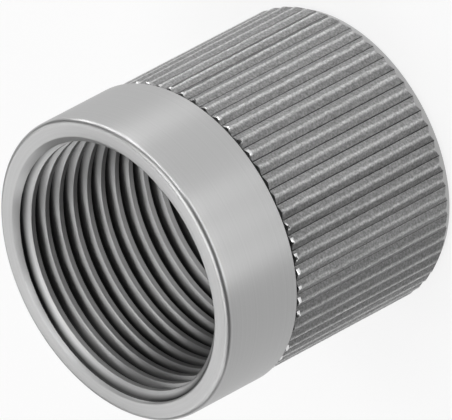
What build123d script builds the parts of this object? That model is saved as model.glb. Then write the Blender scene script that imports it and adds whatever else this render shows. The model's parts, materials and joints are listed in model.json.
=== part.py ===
from build123d import *
import math
import os

# Union nut, turned from one bar: a plain collar at the threaded mouth, a straight knurl for the
# fingers, a bevelled rear end, and inside a threaded chamber, a conical seat and a tube bore.
# Millimetres. The nut stands on its rear face, centred on Z, with the mouth up.

# Overall sizes
total_length = 24.7
collar_length = 7.4
collar_wall = 1.5           # round the thread, to its full diameter
collar_rim_radius = 0.5

# Rear bevel, from the knurl down to the rear face
rear_bevel_length = 0.95
rear_bevel_angle = 30.0     # from the axis

# Straight knurl of V-shaped teeth, rolled with a wheel
collar_step = 0.2           # the collar stands this much over the knurl's crests
knurl_pitch = 1.29          # from tooth to tooth, round the crests
knurl_depth = 0.23
knurl_crest_width = 0.05
knurl_root_width = 0.03
knurl_run_out = 0.5         # beside the collar the teeth slope down to their roots

# Thread in the mouth, M22 x 1.5, and the countersink that leads into it
thread_diameter = 22.0
thread_pitch = 1.5
countersink_overcut = 0.1   # on the diameter, over the thread

# Seat and tube bore
tube_diameter = 15.0
tube_clearance = 0.2        # on the diameter
tube_bore_length = 4.0
seat_angle = 45.0           # from the axis
bore_edge_break = 0.3

# Radii that follow from the sizes
mouth_radius = (thread_diameter + countersink_overcut) / 2
core_radius = (thread_diameter - thread_pitch) / 2
collar_radius = thread_diameter / 2 + collar_wall
crest_radius = collar_radius - collar_step
root_radius = crest_radius - knurl_depth
rear_face_radius = crest_radius - rear_bevel_length * math.tan(math.radians(rear_bevel_angle))
bore_radius = (tube_diameter + tube_clearance) / 2

# Heights that follow from the sizes, from the rear face up
collar_bottom = total_length - collar_length
knurl_top = collar_bottom - knurl_run_out
countersink_bottom = total_length - (mouth_radius - core_radius)
seat_bottom = tube_bore_length
seat_top = seat_bottom + (core_radius - bore_radius) / math.tan(math.radians(seat_angle))

# Knurl teeth, with a V-shaped groove between each two
tooth_count = round(2 * math.pi * crest_radius / knurl_pitch)
tooth_spacing = 2 * math.pi * crest_radius / tooth_count
groove_half_width = (tooth_spacing - knurl_crest_width) / 2
root_half_width = knurl_root_width / 2

with BuildPart() as union_nut:
    # The turned blank, as half a section spun round the axis
    with BuildSketch(Plane.XZ):
        with BuildLine():
            Polyline(
                (bore_radius + bore_edge_break, 0),
                (rear_face_radius, 0),
                (crest_radius, rear_bevel_length),
                (crest_radius, knurl_top),
                (root_radius, collar_bottom),
                (collar_radius, collar_bottom),
                (collar_radius, total_length),
                (mouth_radius, total_length),
                (core_radius, countersink_bottom),
                (core_radius, seat_top),
                (bore_radius, seat_bottom),
                (bore_radius, bore_edge_break),
                close=True,
            )
        blank_section = make_face()
        rim_corner = blank_section.vertices().group_by(Axis.Z)[-1].sort_by(Axis.X)[-1]
        fillet(rim_corner, radius=collar_rim_radius)
    revolve(axis=Axis.Z)

    # The knurl's grooves, from the rear end up to the collar
    with BuildSketch(Plane.XY):
        with PolarLocations(0, tooth_count):
            Polygon(
                (root_radius, root_half_width),
                (root_radius, -root_half_width),
                (crest_radius, -groove_half_width),
                (collar_radius, -groove_half_width),
                (collar_radius, groove_half_width),
                (crest_radius, groove_half_width),
                align=None,
            )
    extrude(amount=collar_bottom, mode=Mode.SUBTRACT)

union_nut.part.label = "union_nut"

os.makedirs("parts", exist_ok=True)
export_step(union_nut.part, "parts/union_nut.step")
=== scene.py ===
import json
import math

import bmesh
import bpy
from mathutils import Matrix, Vector, noise


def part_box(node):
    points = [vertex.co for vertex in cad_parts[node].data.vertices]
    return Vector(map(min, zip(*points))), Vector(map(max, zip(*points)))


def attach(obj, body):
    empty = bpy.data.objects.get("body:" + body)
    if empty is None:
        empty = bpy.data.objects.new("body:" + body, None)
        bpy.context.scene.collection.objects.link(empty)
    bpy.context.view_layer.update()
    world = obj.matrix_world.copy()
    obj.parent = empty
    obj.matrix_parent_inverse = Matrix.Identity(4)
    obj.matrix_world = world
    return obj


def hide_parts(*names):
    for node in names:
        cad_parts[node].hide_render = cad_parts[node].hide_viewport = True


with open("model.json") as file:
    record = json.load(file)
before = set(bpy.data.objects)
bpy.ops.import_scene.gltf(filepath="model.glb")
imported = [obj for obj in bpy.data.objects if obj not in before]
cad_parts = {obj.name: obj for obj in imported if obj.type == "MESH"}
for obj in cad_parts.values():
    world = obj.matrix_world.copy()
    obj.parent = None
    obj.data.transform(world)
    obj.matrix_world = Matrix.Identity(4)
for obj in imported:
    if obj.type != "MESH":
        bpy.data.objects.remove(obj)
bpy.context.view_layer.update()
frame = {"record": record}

mm = 0.001

# The nut's main sizes come from the frame, in millimetres
mounts = {mount["name"]: mount for mount in frame["record"]["mounts"]}
nutLow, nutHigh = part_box("union_nut")
nutLength = (nutHigh[2] - nutLow[2]) / mm
collarRadius = (nutHigh[0] - nutLow[0]) / 2 / mm
coreRadius = mounts["mouth_thread"]["dims"]["r_mm"]
boreRadius = mounts["tube_bore"]["dims"]["r_mm"]
print("frame: nut", round(nutLength, 2), "mm long,", round(2 * collarRadius, 2), "mm across")

# Finishes of the nut's faces, in the order of its material slots. Closing faces only shut the
# sleeve for the thread's cut, and are deleted after it.
slots = ("turned", "knurl", "thread", "bead", "rim", "closing")
slotOf = {name: index for index, name in enumerate(slots)}

# Sizes that the frame doesn't give, in millimetres and degrees
body = {
    "collarLength": 7.4,
    "rimRadius": 0.5,        # rounded rim at the mouth
    "rimSteps": 8,
    "collarRows": 6,
    "collarStep": 0.2,       # collar over the knurl's crests
    "bevelLength": 0.95,     # rear bevel
    "bevelAngle": 30.0,
    "bevelMiddle": 0.75,     # a row this far up from the rear face to the knurl's roots
    "rearRound": 0.09,       # rounded corner between the bevel and the rear face
    "rearSteps": 3,
    "boreEdge": 0.3,
    "boreLength": 4.0,
    "mouthRadius": 11.05,
    "edgeBreak": 0.06,       # every turned corner is broken by this
    "collarEdge": 0.3,       # middle of the collar's broken edge, as a share of the break
    "mouthEdge": 0.2,        # middle of the mouth's
    "mouthEdgeFoot": 0.7,    # and where it meets the countersink
    "mouthJoin": 11.6,       # where the skin meets the threaded sleeve on the mouth's face
    "rearJoin": 9.0,         # and on the rear face
    "sharpAngle": 17.0,      # edges that turn more than this stay crisp
    "sleeveTurnIn": 1.2,     # the closing wall turns in this far over the bore
    "weldDistance": 0.0005,  # points nearer than this are joined
}

crestRadius = collarRadius - body["collarStep"]
collarBottom = nutLength - body["collarLength"]
countersinkBottom = nutLength - (body["mouthRadius"] - coreRadius)
seatTop = body["boreLength"] + coreRadius - boreRadius
bevelSlope = math.tan(math.radians(body["bevelAngle"]))
rearFaceRadius = crestRadius - body["bevelLength"] * bevelSlope

knurl = {
    "teeth": 60,
    "depth": 0.23,
    "places": (-1.0, -0.93, -0.6, -0.3, -0.1, 0.0, 0.1, 0.3, 0.6, 0.93),  # columns, from root to root
    "rows": 80,
    "rootCrease": 0.03,      # a narrow crease in each root, under the depth
    "crestFlat": 0.04,       # share of the tooth that the wheel left flat
    "crestFlatStray": 0.08,
    "flatQuick": 0.4,        # how much of the flat's stray is the short wandering
    "crestSoft": 0.05,       # rounding of the crest's edges
    "crestStray": 0.06,      # how far a crest wanders sideways
    "strayLength": 1.9,      # and over what length
    "crestNick": 0.075,      # short wandering of the crest
    "nickLength": 0.42,
    "strayReach": 1.5,       # more keeps the wandering nearer to the crest
    "crestDip": 0.03,        # how far it sinks here and there
    "dipLevel": 0.3,         # more makes the dips rarer
    "dipQuick": 0.6,         # how much of them is the short wandering
    "pitting": 0.008,        # fine unevenness of the pressed metal
    "pitLength": 0.25,
    "pitInRoot": 0.3,        # share of it that is left in the roots
    "gapDepth": 0.06,        # undercut between the collar and the teeth, deeper than the roots
    "gapLength": 0.37,
    "gapFoot": 0.02,         # how far the teeth's ends lean towards the collar in it
    "toothEnd": 0.05,        # a tooth is this much shorter at its crest than in its roots
    "endStray": 0.06,        # how ragged the ends are
    "endFine": 0.7,          # share of a finer raggedness on top
    "endFineCount": 2.3,     # and how quickly it changes across a tooth
}

beads = {                    # metal that the wheel turned up at the teeth's ends
    "height": 0.12,
    "length": 0.32,
    "width": 0.4,            # share of the tooth
    "shift": 0.5,            # sideways
    "usual": 0.85,           # 1 is a full bead, 0 is none
    "groupStray": 1.0,       # neighbours differ together
    "toothStray": 2.0,       # and each by itself
    "most": 1.5,             # and none is fuller than this
    "lump": 0.5,             # unevenness of one bead, and how quickly it changes across and along
    "lumpsAcross": 4.0,
    "lumpsAlong": 3.0,
    "cleanTooth": 44.5,      # no bead here
    "cleanSpan": 2.2,        # and full ones from this many teeth away
    "cleanEdge": 3,          # more makes them come back later
    "least": 0.03,           # a lower one has the knurl's finish
    "shape": ((0.0, 0.55), (0.3, 1.0), (0.65, 0.8), (1.0, 0.0)),    # height along its length
}

# Each kind of unevenness reads the noise along a line of its own: step from tooth to tooth, and start
noiseLines = {
    "crestSlow": (7.31, 0.0, 0.0),
    "crestQuick": (7.31, 0.0, 4.0),
    "end": (3.7, 9.0, 2.0),
    "endFine": (5.1, 0.0, 7.0),
    "beadShift": (8.3, 1.0, 0.0),
    "beadGroup": (0.31, 3.0, 0.0),
    "beadTooth": (9.7, 5.0, 0.0),
    "beadLump": (4.9, 0.0, 0.0),
}
rootRadius = crestRadius - knurl["depth"]


def point(radius, angle, height):
    return Vector((radius * math.cos(angle), radius * math.sin(angle), height)) * mm


def softLimit(value, soft):
    # value up to 1, with a round corner there
    if value < 1 - soft:
        return value
    if value > 1 + soft:
        return 1.0
    return value - (value - 1 + soft) ** 2 / (4 * soft)


def waver(kind, tooth, along=0.0, across=0.0):
    # smooth noise between about -1 and 1, the same on each run
    step, second, third = noiseLines[kind]
    return noise.noise(Vector((tooth * step, second + along, third + across)))


def columnAngle(tooth, place):
    return (tooth + 0.5 + place / 2) * 2 * math.pi / knurl["teeth"]


def toothPoint(tooth, place, height):
    # A point of one tooth: place -1 and 1 are its roots, 0 is its crest
    slow = waver("crestSlow", tooth, height / knurl["strayLength"])
    quick = waver("crestQuick", tooth, height / knurl["nickLength"])
    share = 1 - abs(place)    # 0 in the root, 1 on the crest
    flat = knurl["crestFlat"] + knurl["crestFlatStray"] * max(0.0, slow + knurl["flatQuick"] * quick)
    rise = softLimit(share / (1 - flat), knurl["crestSoft"])
    near = share ** knurl["strayReach"]
    aside = (knurl["crestStray"] * slow + knurl["crestNick"] * quick) * near
    sink = knurl["crestDip"] * max(0.0, -knurl["dipLevel"] - slow - knurl["dipQuick"] * quick) * near
    if share == 0:
        sink += knurl["rootCrease"]
    angle = columnAngle(tooth, place)
    pits = knurl["pitLength"]
    pit = noise.noise(Vector((math.cos(angle) * crestRadius / pits, math.sin(angle) * crestRadius / pits,
                              height / pits)))
    radius = rootRadius + knurl["depth"] * rise - sink + knurl["pitting"] * pit * (knurl["pitInRoot"] + rise)
    return angle + aside / crestRadius, radius


columns = [(tooth, place) for tooth in range(knurl["teeth"]) for place in knurl["places"]]


def ring(radius, height):
    return [point(radius, columnAngle(tooth, place), height) for tooth, place in columns]


def toothTop(tooth, place):
    # Where a tooth ends under the collar, and how far its bead stands up there
    ragged = waver("end", tooth)
    ragged += knurl["endFine"] * waver("endFine", tooth, place * knurl["endFineCount"])
    height = collarBottom - knurl["gapLength"] - knurl["toothEnd"] * (1 - abs(place))
    height += knurl["endStray"] * ragged
    across = abs(place - beads["shift"] * waver("beadShift", tooth)) / beads["width"]
    full = beads["usual"] + beads["groupStray"] * waver("beadGroup", tooth)
    full = max(0.0, full + beads["toothStray"] * waver("beadTooth", tooth))
    full *= min(1.0, (abs(tooth - beads["cleanTooth"]) / beads["cleanSpan"]) ** beads["cleanEdge"])
    bead = beads["height"] * min(beads["most"], full) * math.sqrt(max(0.0, 1 - across ** 2))
    return height, bead


def knurlRings():
    # From the collar down: the undercut, the teeth's ends with their beads, and the teeth
    gapRadius = rootRadius - knurl["gapDepth"]
    rings = [ring(gapRadius, collarBottom)]
    foot = []
    for tooth, place in columns:
        height = toothTop(tooth, place)[0]
        angle = toothPoint(tooth, place, height)[0]
        foot.append(point(gapRadius, angle, height + knurl["gapFoot"]))
    rings.append(foot)
    for back, share in beads["shape"]:
        line = []
        for tooth, place in columns:
            height, bead = toothTop(tooth, place)
            height -= back * beads["length"]
            angle, radius = toothPoint(tooth, place, height)
            lump = waver("beadLump", tooth, place * beads["lumpsAcross"], back * beads["lumpsAlong"])
            line.append(point(radius + bead * share * (1 + beads["lump"] * lump), angle, height))
        rings.append(line)
    for row in range(1, knurl["rows"] + 1):
        line = []
        for tooth, place in columns:
            high = toothTop(tooth, place)[0] - beads["length"]
            guess = rootRadius + knurl["depth"] * (1 - abs(place))    # about where it meets the bevel
            height = high + ((guess - rearFaceRadius) / bevelSlope - high) * row / knurl["rows"]
            angle, radius = toothPoint(tooth, place, height)
            if row == knurl["rows"]:
                height = (radius - rearFaceRadius) / bevelSlope    # the last row lies on the bevel
            line.append(point(radius, angle, height))
        rings.append(line)
    return rings


def outerRings():
    # The skin from the mouth's face over the rim, the collar, the knurl and the rear bevel
    rings = [ring(body["mouthJoin"], nutLength)]
    rim = body["rimRadius"]
    for step in range(body["rimSteps"] + 1):
        turn = math.pi / 2 * step / body["rimSteps"]
        rings.append(ring(collarRadius - rim + rim * math.sin(turn), nutLength - rim + rim * math.cos(turn)))
    edge = body["edgeBreak"]
    middle = body["collarEdge"] * edge
    collarTop = nutLength - rim
    for row in range(1, body["collarRows"]):
        rings.append(ring(collarRadius, collarTop + (collarBottom - collarTop) * row / body["collarRows"]))
    rings.append(ring(collarRadius, collarBottom + edge))
    rings.append(ring(collarRadius - middle, collarBottom + middle))
    rings.append(ring(collarRadius - edge, collarBottom))
    knurlStart = len(rings)
    rings += knurlRings()
    knurlEnd = len(rings) - 1
    outward = (rootRadius - rearFaceRadius) * body["bevelMiddle"]
    rings.append(ring(rearFaceRadius + outward, outward / bevelSlope))
    corner = body["rearRound"]
    lean = math.radians(90 - body["bevelAngle"])
    tangent = corner * math.tan(lean / 2)
    for step in range(body["rearSteps"] + 1):
        turn = lean * (1 - step / body["rearSteps"])
        radius = rearFaceRadius - tangent + corner * math.sin(turn)
        rings.append(ring(radius, corner - corner * math.cos(turn)))
    rings.append(ring(body["rearJoin"], 0))
    print("skin:", len(rings), "rows of", len(columns), "points")
    return rings, knurlStart, knurlEnd


def sleeveRings():
    # The inside walls from the mouth's face down, and the finish of each row of faces
    edge = body["edgeBreak"]
    middle = body["mouthEdge"] * edge
    foot = body["mouthEdgeFoot"] * edge
    rings = [
        ring(body["mouthJoin"], nutLength),
        ring(body["mouthRadius"] + edge, nutLength),
        ring(body["mouthRadius"] + middle, nutLength - middle),
        ring(body["mouthRadius"] - foot, nutLength - foot),
        ring(coreRadius, countersinkBottom),
        ring(coreRadius, seatTop),
        ring(boreRadius, body["boreLength"]),
        ring(boreRadius, body["boreEdge"]),
        ring(boreRadius + body["boreEdge"], 0),
        ring(body["rearJoin"], 0),
        ring(body["mouthJoin"], body["boreLength"] + body["sleeveTurnIn"]),
    ]
    # The core wall and the seat below it have the thread's finish
    finish = ["turned"] * 4 + ["thread"] * 2 + ["turned"] * 3 + ["closing"] * 2
    return rings, finish


def meshFromRings(name, rings, materialOf, closed=False, capped=False):
    # Rows of points become faces. materialOf takes a face's row and column.
    mesh = bpy.data.meshes.new(name)
    bm = bmesh.new()
    rows = [[bm.verts.new(place) for place in line] for line in rings]
    count = len(rows[0])
    pairs = list(zip(rows, rows[1:]))
    if closed:
        pairs.append((rows[-1], rows[0]))
    for row, (upper, lower) in enumerate(pairs):
        for column in range(count):
            after = (column + 1) % count
            face = bm.faces.new((upper[column], lower[column], lower[after], upper[after]))
            face.material_index = materialOf(row, column)
    if capped:
        bm.faces.new(rows[0])
        bm.faces.new(list(reversed(rows[-1])))
    bmesh.ops.recalc_face_normals(bm, faces=bm.faces)
    bm.to_mesh(mesh)
    bm.free()
    return mesh


thread = {
    "pitch": 1.5,
    "depth": 0.74,
    "halfWidth": 0.55,       # of the groove, at the core wall
    "hollow": 1.45,          # 1 is a plain V, more is a rounder root
    "edgeBreak": 0.035,      # on the crests' edges
    "edgeRise": 0.2,         # share of the break where it starts outside the core wall
    "flankShare": 0.985,     # the flanks end just short of the edge
    "sides": 5,              # facets on each flank
    "phaseDepth": 0.60,      # a groove's middle is this far under the mouth's face, at phaseAngle
    "phaseAngle": 90.75,
    "length": 17.0,          # from the mouth's face down to where the groove ends
    "leadIn": 0.7,           # turns that the cutter goes on above the mouth
    "runOutTurns": 0.8,      # the groove gets shallow over this many
    "runOutClear": 0.2,      # how far the cutter has left the wall when it ends
    "segments": 96,          # in each turn
    "overcut": 0.1,          # the cutter starts this far inside the core wall
}


def threadCutter():
    # A worm of the groove's section along a right-hand helix, which sinks out of the wall at its end
    pitch = thread["pitch"]
    inner = coreRadius - thread["overcut"]
    outer = coreRadius + thread["edgeRise"] * thread["edgeBreak"]
    half = thread["halfWidth"]
    flare = half + thread["edgeBreak"]
    section = [(inner, flare), (outer, flare)]
    for side in range(2 * thread["sides"] + 1):
        across = (1 - side / thread["sides"]) * thread["flankShare"]
        section.append((coreRadius + thread["depth"] * (1 - abs(across) ** thread["hollow"]), across * half))
    section += [(outer, -flare), (inner, -flare)]
    phaseHeight = nutLength - thread["phaseDepth"]
    firstTurn = (nutLength - thread["length"] - phaseHeight) / pitch
    lastTurn = (nutLength + pitch * thread["leadIn"] - phaseHeight) / pitch
    steps = round((lastTurn - firstTurn) * thread["segments"])
    rings = []
    for step in range(steps + 1):
        turns = firstTurn + step / thread["segments"]
        angle = math.radians(thread["phaseAngle"]) + turns * 2 * math.pi
        height = phaseHeight + turns * pitch
        left = max(0.0, 1 - (turns - firstTurn) / thread["runOutTurns"])
        sink = left * (thread["depth"] + thread["runOutClear"])
        rings.append([point(radius - sink, angle, height + rise) for radius, rise in section])
    print("thread:", round(lastTurn - firstTurn, 1), "turns of", pitch, "mm")
    return meshFromRings("cutter", rings, lambda row, column: slotOf["thread"], capped=True)


def linked(name, data):
    thing = bpy.data.objects.new(name, data)
    bpy.context.scene.collection.objects.link(thing)
    return thing


def threadedSleeve():
    # The inside walls as a closed sleeve, with the thread's groove cut out of it
    rings, finish = sleeveRings()
    walls = meshFromRings("sleeve", rings, lambda row, column: slotOf[finish[row]], closed=True)
    sleeve = linked("sleeve", walls)
    cutter = linked("cutter", threadCutter())
    for thing in (sleeve, cutter):
        for name in slots:
            thing.data.materials.append(None)    # the cut keeps a face's finish only with its slot there
    cut = sleeve.modifiers.new("thread", "BOOLEAN")
    cut.operation = "DIFFERENCE"
    cut.solver = "EXACT"
    cut.object = cutter
    bpy.context.view_layer.update()
    result = bpy.data.meshes.new_from_object(sleeve.evaluated_get(bpy.context.evaluated_depsgraph_get()))
    bpy.data.objects.remove(sleeve)
    bpy.data.objects.remove(cutter)
    return result


def buildNut():
    rings, knurlStart, knurlEnd = outerRings()

    def finishOf(row, column):
        if 0 < row <= body["rimSteps"]:
            return slotOf["rim"]
        if not knurlStart - 1 <= row < knurlEnd:
            return slotOf["turned"]
        onBead = knurlStart < row <= knurlStart + len(beads["shape"])
        if onBead and toothTop(*columns[column])[1] > beads["least"]:
            return slotOf["bead"]
        return slotOf["knurl"]

    bm = bmesh.new()
    bm.from_mesh(meshFromRings("skin", rings, finishOf))
    bm.from_mesh(threadedSleeve())
    closing = [face for face in bm.faces if face.material_index == slotOf["closing"]]
    bmesh.ops.delete(bm, geom=closing, context="FACES")
    bmesh.ops.remove_doubles(bm, verts=bm.verts, dist=body["weldDistance"] * mm)
    bmesh.ops.triangulate(bm, faces=[face for face in bm.faces if len(face.verts) > 4])
    bmesh.ops.recalc_face_normals(bm, faces=bm.faces)
    openEdges = sum(not edge.is_manifold for edge in bm.edges)
    triangles = sum(len(face.verts) - 2 for face in bm.faces)
    for face in bm.faces:
        face.smooth = True
    mesh = bpy.data.meshes.new("unionNutBody")
    bm.to_mesh(mesh)
    bm.free()
    mesh.set_sharp_from_angle(angle=math.radians(body["sharpAngle"]))
    print("nut mesh: triangles", triangles, "open edges", openEdges)
    return linked("unionNutBody", mesh)


def linearColour(hexColour):
    # from an sRGB hex value to the linear one that a shader takes
    channels = [int(hexColour[start:start + 2], 16) / 255 for start in (0, 2, 4)]
    return tuple(c / 12.92 if c <= 0.04045 else ((c + 0.055) / 1.055) ** 2.4 for c in channels) + (1.0,)


def addNode(tree, kind, settings=None, links=None):
    # settings are the node's own values or its inputs; links give (node, output) for an input
    node = tree.nodes.new(kind)
    for name, value in (settings or {}).items():
        if isinstance(name, int) or name in node.inputs:
            node.inputs[name].default_value = value
        else:
            setattr(node, name, value)
    for name, (source, output) in (links or {}).items():
        tree.links.new(source.outputs[output], node.inputs[name])
    return node


mixFirst, mixSecond, mixResult = 6, 7, 2    # the Mix node's sockets for colours
quarterTurn = 0.25


def metalMaterial(name, finish):
    # Bright plain steel. The tangent runs round the nut, and the quarter turn makes the metal rough
    # at right angles to it, which is across the tool's rings, and smooth along it.
    material = bpy.data.materials.new(name)
    material.use_nodes = True
    tree = material.node_tree
    shader = tree.nodes["Principled BSDF"]
    shader.inputs["Base Color"].default_value = linearColour(finish["colour"])
    shader.inputs["Metallic"].default_value = 1.0
    shader.inputs["Roughness"].default_value = finish["roughness"]
    shader.inputs["Anisotropic"].default_value = finish["anisotropy"]
    shader.inputs["Anisotropic Rotation"].default_value = quarterTurn
    around = addNode(tree, "ShaderNodeTangent", {"direction_type": "RADIAL", "axis": "Z"})
    tree.links.new(around.outputs["Tangent"], shader.inputs["Tangent"])
    return material, tree, shader


def axisDistance(tree):
    # The nut's own coordinates, and the distance from its axis
    place = addNode(tree, "ShaderNodeTexCoord")
    flat = addNode(tree, "ShaderNodeVectorMath", {"operation": "MULTIPLY", 1: (1, 1, 0)},
                   {0: (place, "Object")})
    return place, addNode(tree, "ShaderNodeVectorMath", {"operation": "LENGTH"}, {0: (flat, "Vector")})


def paintLightByRadius(tree, shader, finish, radius):
    # Painted light and shade: the colour turns to each tint's between two distances from the axis
    distance = axisDistance(tree)[1]
    last = None
    for colour, end, full in finish["paintedLightTints"]:
        share = addNode(tree, "ShaderNodeMapRange",
                        {"From Min": (radius + end) * mm, "From Max": (radius + full) * mm},
                        {"Value": (distance, "Value")})
        mix = addNode(tree, "ShaderNodeMix",
                      {"data_type": "RGBA", mixFirst: linearColour(finish["colour"]),
                       mixSecond: linearColour(colour)},
                      {0: (share, "Result")})
        if last:
            tree.links.new(last.outputs[mixResult], mix.inputs[mixFirst])
        last = mix
    tree.links.new(last.outputs[mixResult], shader.inputs["Base Color"])
    return last


def addRelief(tree, shader, finish, pattern, tinted=None):
    # The pattern stands up as fine relief, and shades the colour: its pits are darker
    low, high = finish["patternRange"]
    shade = addNode(tree, "ShaderNodeMapRange",
                    {"From Min": low, "From Max": high, "To Min": 1 - finish["shade"],
                     "To Max": 1 + finish["shade"]},
                    {"Value": (pattern, "Fac")})
    shaded = addNode(tree, "ShaderNodeVectorMath",
                     {"operation": "SCALE", 0: linearColour(finish["colour"])[:3]},
                     {"Scale": (shade, "Result")})
    if tinted:
        tree.links.new(tinted.outputs[mixResult], shaded.inputs[0])
    tree.links.new(shaded.outputs["Vector"], shader.inputs["Base Color"])
    bump = addNode(tree, "ShaderNodeBump", {"Strength": 1.0, "Distance": finish["reliefHeight"] * mm},
                   {"Height": (pattern, "Fac")})
    tree.links.new(bump.outputs["Normal"], shader.inputs["Normal"])


# Plain steel, turned on a lathe and left as cut. The tool leaves fine rings round the axis, so the
# eye sees a satin grey whose lights draw out into soft bands along the nut.
turnedFinish = {
    "colour": "aeaeae",
    "roughness": 0.41,
    "anisotropy": 0.7,       # more makes it rougher across the rings, and smoother along them
    "toolFeed": 0.08,        # mm in each turn, usual for a finishing cut
    "coarser": 2.0,          # drawn twice as coarse, because the real rings are too fine to show
    "detail": 1.0,           # finer layers of noise
    "patternRange": (0.3, 0.7),      # most of the noise lies in here
    "reliefHeight": 0.0004,  # mm
    "shade": 0.022,          # share by which the colour goes up and down
}


def turnedSteel():
    material, tree, shader = metalMaterial("satinTurnedSteel", turnedFinish)
    place, distance = axisDistance(tree)
    split = addNode(tree, "ShaderNodeSeparateXYZ", None, {0: (place, "Object")})
    # Distance less height changes both along the walls and across the flat faces, so both get rings
    along = addNode(tree, "ShaderNodeMath", {"operation": "SUBTRACT"},
                    {0: (distance, "Value"), 1: (split, "Z")})
    ringSize = turnedFinish["toolFeed"] * turnedFinish["coarser"] * mm
    rings = addNode(tree, "ShaderNodeTexNoise",
                    {"noise_dimensions": "1D", "Scale": 1 / ringSize, "Detail": turnedFinish["detail"]},
                    {"W": (along, "Value")})
    addRelief(tree, shader, turnedFinish, rings)
    return material


# Plain steel that a hard wheel has pressed into teeth. The wheel folds and flakes the skin a little,
# so the flanks are dull and finely grained. The crests are painted lighter, partly wear where hands
# and tools polish them and partly a painted highlight, and the roots are painted darker, a painted
# shade, so the eye sees pale lines and thin dark ones on a grey ground.
knurlFinish = {
    # darker than the turned steel: a painted shade over the whole knurl
    "colour": "999999",
    "roughness": 0.53,
    "anisotropy": 1.0,
    "grainSize": 0.034,      # mm, about a grain of mild steel
    "coarser": 5.0,          # drawn five times as coarse, because the real grain is too fine to show
    "detail": 2.0,
    "patternRange": (0.3, 0.7),
    "reliefHeight": 0.026,   # mm
    "shade": 0.28,
    # Colour, mm from the root radius where it ends, and where it is full
    "paintedLightTints": (
        ("484848", 0.005, -0.03),    # painted shade in the root creases
        ("c8c8c8", 0.165, 0.215),    # painted highlight along the crests, partly polish wear
    ),
}


def knurledSteel():
    material, tree, shader = metalMaterial("rolledKnurlSteel", knurlFinish)
    # Painted shade in the root creases and a painted highlight along the crests
    tinted = paintLightByRadius(tree, shader, knurlFinish, rootRadius)
    place = addNode(tree, "ShaderNodeTexCoord")
    grainSize = knurlFinish["grainSize"] * knurlFinish["coarser"] * mm
    grain = addNode(tree, "ShaderNodeTexNoise", {"Scale": 1 / grainSize, "Detail": knurlFinish["detail"]},
                    {"Vector": (place, "Object")})
    addRelief(tree, shader, knurlFinish, grain, tinted)
    return material


# Plain steel with a thread cut by a pointed tool. Its colour is painted a little lighter than the
# turned steel's, a painted light, and the roots are painted darker, a painted shade, so the eye sees
# each turn fade from a pale crest to a dark root.
threadFinish = {
    # a little lighter than the turned steel: painted light
    "colour": "b8b8b8",
    "roughness": 0.44,
    "anisotropy": 0.67,
    # Colour, mm outside the core wall where it ends, and where it is full
    "paintedLightTints": (
        ("484848", 0.22, 0.62),      # painted shade in the roots
    ),
}


def threadSteel():
    material, tree, shader = metalMaterial("cutThreadSteel", threadFinish)
    # Painted shade in the thread's roots
    paintLightByRadius(tree, shader, threadFinish, coreRadius)
    return material


# The same steel where the wheel has squeezed it out and rubbed it smooth, with its colour painted lighter, a
# painted glint: small bright spots
beadFinish = {
    # lighter than the knurl's steel: a painted glint
    "colour": "dcdcdc",
    "roughness": 0.25,
    "anisotropy": 0.0,
}


def beadSteel():
    return metalMaterial("burnishedBeadSteelPaintedGlint", beadFinish)[0]


# The rim is rounded by a form tool, which rubs as it cuts. It is smoother than the collar, so the
# eye sees a thin bright line along it.
rimFinish = {
    "colour": "aeaeae",
    "roughness": 0.35,
    "anisotropy": 0.5,
}


def rimSteel():
    return metalMaterial("formedRimSteel", rimFinish)[0]


nut = buildNut()
for material in (turnedSteel(), knurledSteel(), threadSteel(), beadSteel(), rimSteel()):    # as in slots
    nut.data.materials.append(material)
print("finishes:", [material.name for material in nut.data.materials])
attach(nut, "root")
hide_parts("union_nut")

view = {
    "turn": 0.75,            # degrees round the nut's axis
    "elevation": 36.6,       # degrees above the floor
    "roll": 117.9,           # degrees round the line of sight
    "lens": 1500.0,          # mm, this long because the photograph is close to a parallel view
    "sensor": 36.0,
    "clipEnd": 10.0,         # metres
    "mmPerPixel": 0.07635,   # from the thread's pitch in the photograph
    "imageWidth": 452,
    "imageHeight": 420,
    "mouthX": 112.8,         # the mouth's centre in the photograph
    "mouthY": 271.0,
}


def addCamera():
    # The camera looks at the image's middle, measured from the centre of the nut's mouth
    elevation = math.radians(view["elevation"])
    roll = math.radians(view["roll"])
    turned = Matrix.Rotation(math.radians(view["turn"]), 3, "Z")
    back = turned @ Vector((0, -math.cos(elevation), math.sin(elevation)))
    level = turned @ Vector((1, 0, 0))
    upright = turned @ Vector((0, math.sin(elevation), math.cos(elevation)))
    up = level * math.sin(roll) + upright * math.cos(roll)
    right = level * math.cos(roll) - upright * math.sin(roll)
    scale = view["mmPerPixel"] * mm
    distance = view["imageWidth"] * scale * view["lens"] / view["sensor"]
    target = Vector((0, 0, nutLength * mm))
    target += right * (view["imageWidth"] / 2 - view["mouthX"]) * scale
    target += up * (view["mouthY"] - view["imageHeight"] / 2) * scale
    data = bpy.data.cameras.new("viewCamera")
    data.lens = view["lens"]
    data.sensor_width = view["sensor"]
    data.clip_end = view["clipEnd"]
    camera = linked("viewCamera", data)
    place = Matrix((right, up, back)).transposed().to_4x4()
    place.translation = target + back * distance
    camera.matrix_world = place
    bpy.context.scene.camera = camera
    print("camera:", round(distance, 2), "m away")


addCamera()

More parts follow.
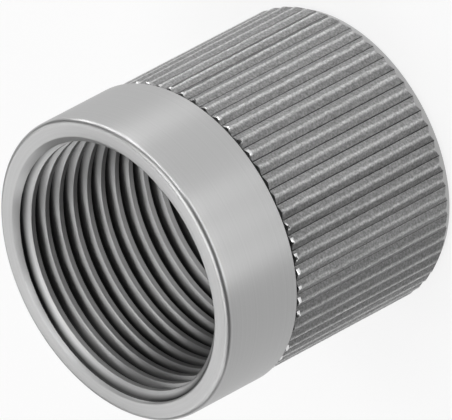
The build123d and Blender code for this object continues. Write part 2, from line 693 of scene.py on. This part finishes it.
# Metres and degrees
studio = {
    "floorHalf": 2.0,        # half of its side
    "floorColour": "eeeeee",
    "floorWhite": 0.8,       # how much of the floor's white doesn't come from the lamps
    "roomGleam": 0.08,       # how bright metal sees the room's walls
    "lampDistance": 1.0,
    "lampWidth": 0.28,
    "topWidth": 0.4,         # one wide lamp straight above
    "topStrength": 3.0,
    # Rows of soft lamps: height, first and last direction, how many, strength
    "rows": {
        "front": (8, -60, 20, 5, 6.0),           # low and to the right: the knurl's flanks
        "behindLow": (25, 60, 160, 5, 2.0),      # behind the nut: the mouth's face and its chamfer
        "behindHigh": (40, 60, 160, 5, 2.0),
        "ceiling": (55, -40, 180, 6, 2.5),       # an even light into the thread
        "overhead": (70, -180, 0, 4, 4.5),       # the crests and the collar
    },
    # Small lamps on the floor, which the collar mirrors: first and last direction, how many, strength
    "floorRows": {
        "left": (-120, -80, 3, 2.0),
        "right": (-20, -20, 1, 1.5),
    },
    "floorLampDistance": 0.055,
    "floorLampHeight": 0.011,
    "floorLampWidth": 0.02,
    "floorLampTilt": 0.1,    # they look up by this much to each metre
}


def paleFloor():
    # A matt white floor: camera and reflections see it nearly white, and it keeps the nut's shadow
    material = bpy.data.materials.new("mattWhiteFloor")
    material.use_nodes = True
    tree = material.node_tree
    tree.nodes.clear()
    matt = addNode(tree, "ShaderNodeBsdfDiffuse", {"Color": linearColour(studio["floorColour"])})
    white = addNode(tree, "ShaderNodeEmission", {"Strength": 1.0})
    ray = addNode(tree, "ShaderNodeLightPath")
    seen = addNode(tree, "ShaderNodeMath", {"operation": "MAXIMUM"},
                   {0: (ray, "Is Camera Ray"), 1: (ray, "Is Glossy Ray")})
    seen = addNode(tree, "ShaderNodeMath", {"operation": "MAXIMUM"},
                   {0: (seen, "Value"), 1: (ray, "Is Transmission Ray")})
    share = addNode(tree, "ShaderNodeMath", {"operation": "MULTIPLY", 1: studio["floorWhite"]},
                    {0: (seen, "Value")})
    mix = addNode(tree, "ShaderNodeMixShader", None,
                  {0: (share, "Value"), 1: (matt, "BSDF"), 2: (white, "Emission")})
    addNode(tree, "ShaderNodeOutputMaterial", None, {"Surface": (mix, "Shader")})
    return material


def addFloor():
    half = studio["floorHalf"]
    mesh = bpy.data.meshes.new("floor")
    mesh.from_pydata([(-half, -half, 0), (half, -half, 0), (half, half, 0), (-half, half, 0)],
                     [], [(0, 1, 2, 3)])
    mesh.materials.append(paleFloor())
    floor = linked("floor", mesh)
    print("floor:", 2 * half, "m square")


def softLamp(place, facing, width, strength):
    # A round lamp that is as bright as its strength says, whatever its width
    data = bpy.data.lights.new("softLamp", "AREA")
    data.shape = "DISK"
    data.size = width
    data.energy = strength * math.pi * math.pi * (width / 2) ** 2
    lamp = linked("softLamp", data)
    lamp.location = place
    lamp.rotation_euler = facing.to_track_quat("-Z", "Y").to_euler()
    lamp.visible_camera = False


def directions(first, last, count):
    # Unit vectors round the nut, evenly spread between two directions
    turns = [math.radians(first + (last - first) * index / max(1, count - 1)) for index in range(count)]
    return [Vector((math.cos(turn), math.sin(turn), 0)) for turn in turns]


def addLamps():
    middle = Vector((0, 0, nutLength / 2 * mm))
    for height, first, last, count, strength in studio["rows"].values():
        rise = math.radians(height)
        for level in directions(first, last, count):
            away = level * math.cos(rise) + Vector((0, 0, math.sin(rise)))
            softLamp(middle + away * studio["lampDistance"], -away, studio["lampWidth"], strength)
    top = Vector((0, 0, studio["lampDistance"]))
    softLamp(middle + top, -top, studio["topWidth"], studio["topStrength"])
    for first, last, count, strength in studio["floorRows"].values():
        for level in directions(first, last, count):
            place = level * studio["floorLampDistance"] + Vector((0, 0, studio["floorLampHeight"]))
            facing = Vector((0, 0, studio["floorLampTilt"])) - level
            softLamp(place, facing, studio["floorLampWidth"], strength)
    print("lamps:", len(bpy.data.lights))


def addRoom():
    # The camera sees the room white, and metal sees it much dimmer, so the lamps shape the nut
    world = bpy.data.worlds.new("room")
    bpy.context.scene.world = world
    world.use_nodes = True
    tree = world.node_tree
    ray = addNode(tree, "ShaderNodeLightPath")
    seen = addNode(tree, "ShaderNodeMath", {"operation": "MAXIMUM"},
                   {0: (ray, "Is Glossy Ray"), 1: (ray, "Is Transmission Ray")})
    dim = addNode(tree, "ShaderNodeMath", {"operation": "MULTIPLY", 1: studio["roomGleam"]},
                  {0: (seen, "Value")})
    strength = addNode(tree, "ShaderNodeMath", {"operation": "MAXIMUM"},
                       {0: (ray, "Is Camera Ray"), 1: (dim, "Value")})
    background = tree.nodes["Background"]
    background.inputs["Color"].default_value = (1, 1, 1, 1)
    tree.links.new(strength.outputs["Value"], background.inputs["Strength"])
    print("room: white to the camera, and", studio["roomGleam"], "to metal")


addFloor()
addLamps()
addRoom()
bpy.context.scene.view_settings.view_transform = "Standard"
